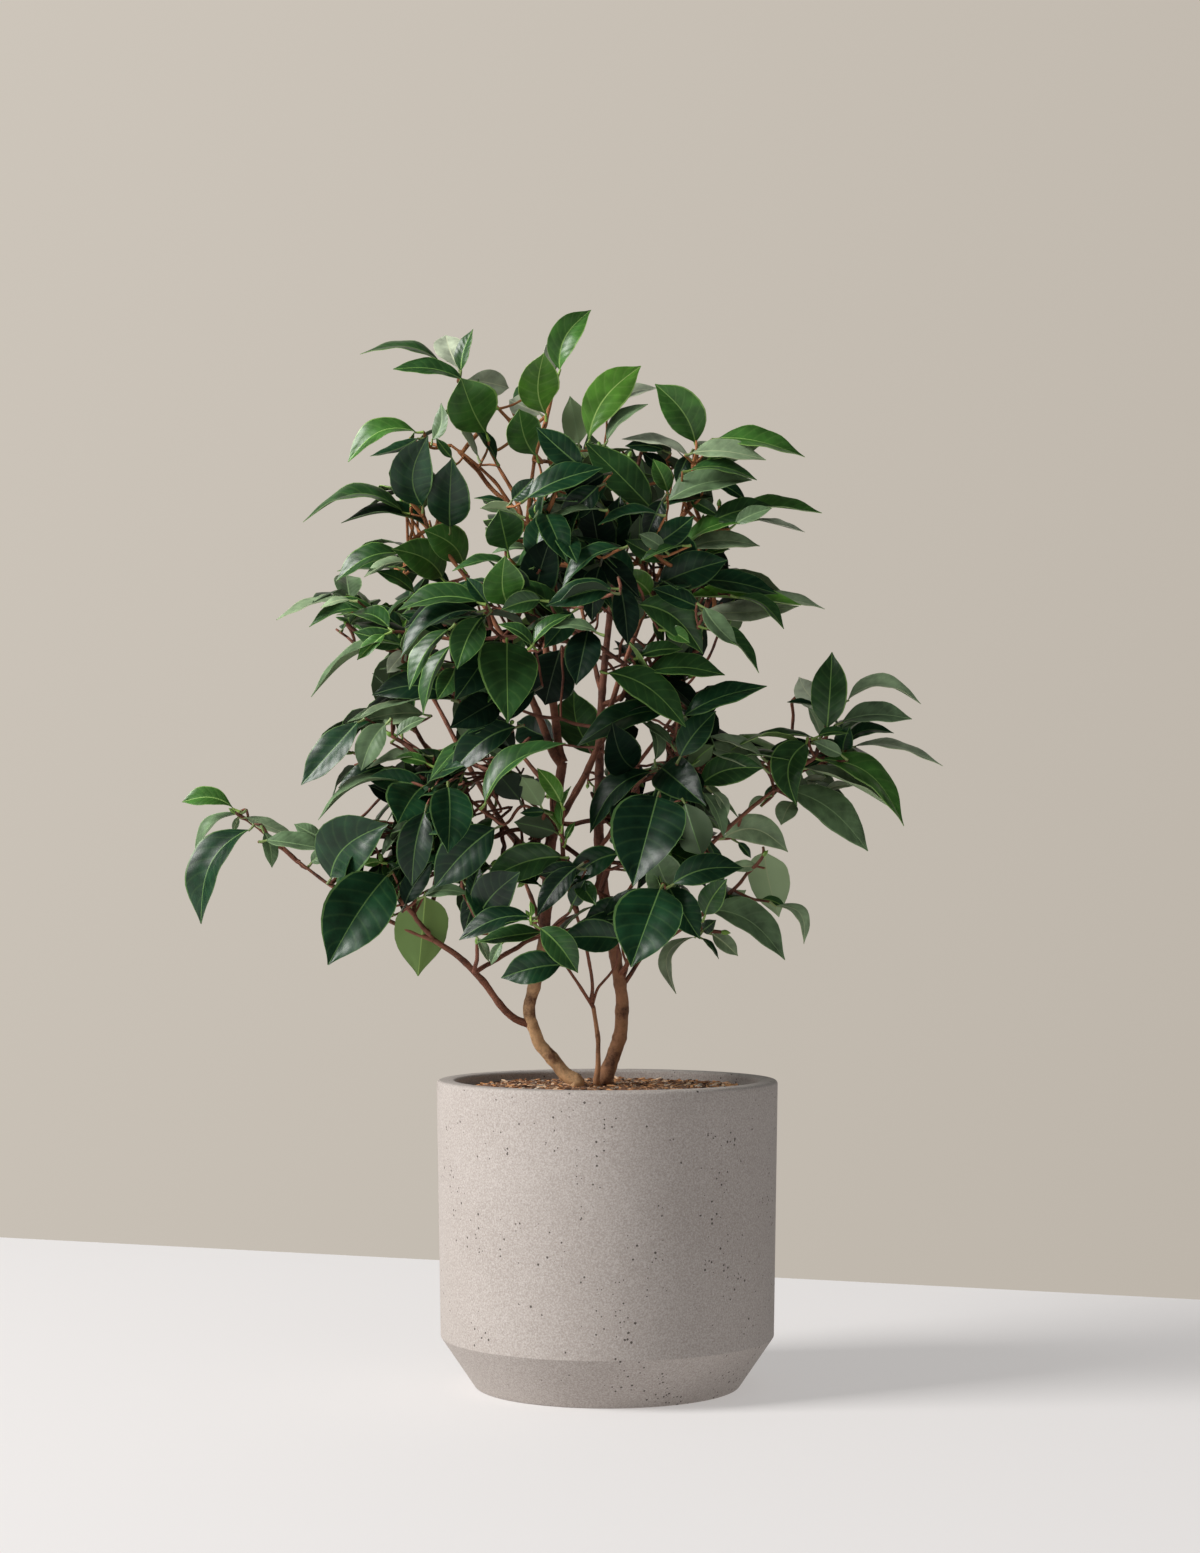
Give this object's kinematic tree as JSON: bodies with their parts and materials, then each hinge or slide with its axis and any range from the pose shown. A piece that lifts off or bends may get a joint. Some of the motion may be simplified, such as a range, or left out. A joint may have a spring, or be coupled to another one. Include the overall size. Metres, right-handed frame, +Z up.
{
  "type": "potted camellia shrub",
  "caption": "Evergreen camellia shrub with slender bent stems, spreading boughs and glossy pointed leaves, growing in a round tapered-foot planter.",
  "frame": {"origin": "centre of the pot's flat underside, on the floor", "axes": "+Z up; the plant's front, the side in view, faces -Y; +X is to its right seen from the front"},
  "size_m": [0.7017, 0.4778, 0.9814],
  "materials": {
    "pot": "matte",
    "potting_mix": "matte",
    "bark": "matte",
    "twig_bark": "matte",
    "leaf": "satin",
    "leaf_young": "satin"
  },
  "bodies": {
    "root": {"bough_back_left": "twig_bark", "bough_back_low_left": "twig_bark", "bough_back_low_right": "twig_bark", "bough_back_right": "twig_bark", "bough_back_top": "twig_bark", "bough_centre": "twig_bark", "bough_crown_left": "twig_bark", "bough_front_left": "twig_bark", "bough_front_middle": "twig_bark", "bough_front_upper": "twig_bark", "bough_left_back": "twig_bark", "bough_left_far": "twig_bark", "bough_left_fork": "twig_bark", "bough_left_high": "twig_bark", "bough_left_low": "twig_bark", "bough_left_middle": "twig_bark", "bough_left_side": "twig_bark", "bough_left_top": "twig_bark", "bough_middle_left": "twig_bark", "bough_middle_right": "twig_bark", "bough_right_far": "twig_bark", "bough_right_front": "twig_bark", "bough_right_inner": "twig_bark", "bough_right_low": "twig_bark", "bough_right_middle": "twig_bark", "bough_right_top": "twig_bark", "mass_back_left": "leaf", "mass_back_low_left": "leaf", "mass_back_low_right": "leaf", "mass_back_middle": "leaf", "mass_back_right": "leaf", "mass_centre_front": "leaf", "mass_far_left": "leaf", "mass_far_right": "leaf", "mass_left_front": "leaf", "mass_left_low": "leaf", "mass_left_low_front": "leaf", "mass_left_lower": "leaf", "mass_left_middle": "leaf", "mass_left_shoulder": "leaf", "mass_left_top": "leaf", "mass_low_front": "leaf", "mass_middle_front": "leaf_young", "mass_right_front": "leaf", "mass_right_low": "leaf", "mass_right_low_front": "leaf", "mass_right_middle": "leaf", "mass_right_shoulder": "leaf", "mass_right_top": "leaf", "mass_right_upper": "leaf", "mass_top": "leaf_young", "mass_top_left": "leaf_young", "mass_top_right": "leaf_young", "mass_upper_back": "leaf", "mass_upper_front": "leaf", "pot": "pot", "potting_mix": "potting_mix", "stem_left": "bark", "stem_middle": "bark", "stem_right": "bark"}
  },
  "joints": []
}
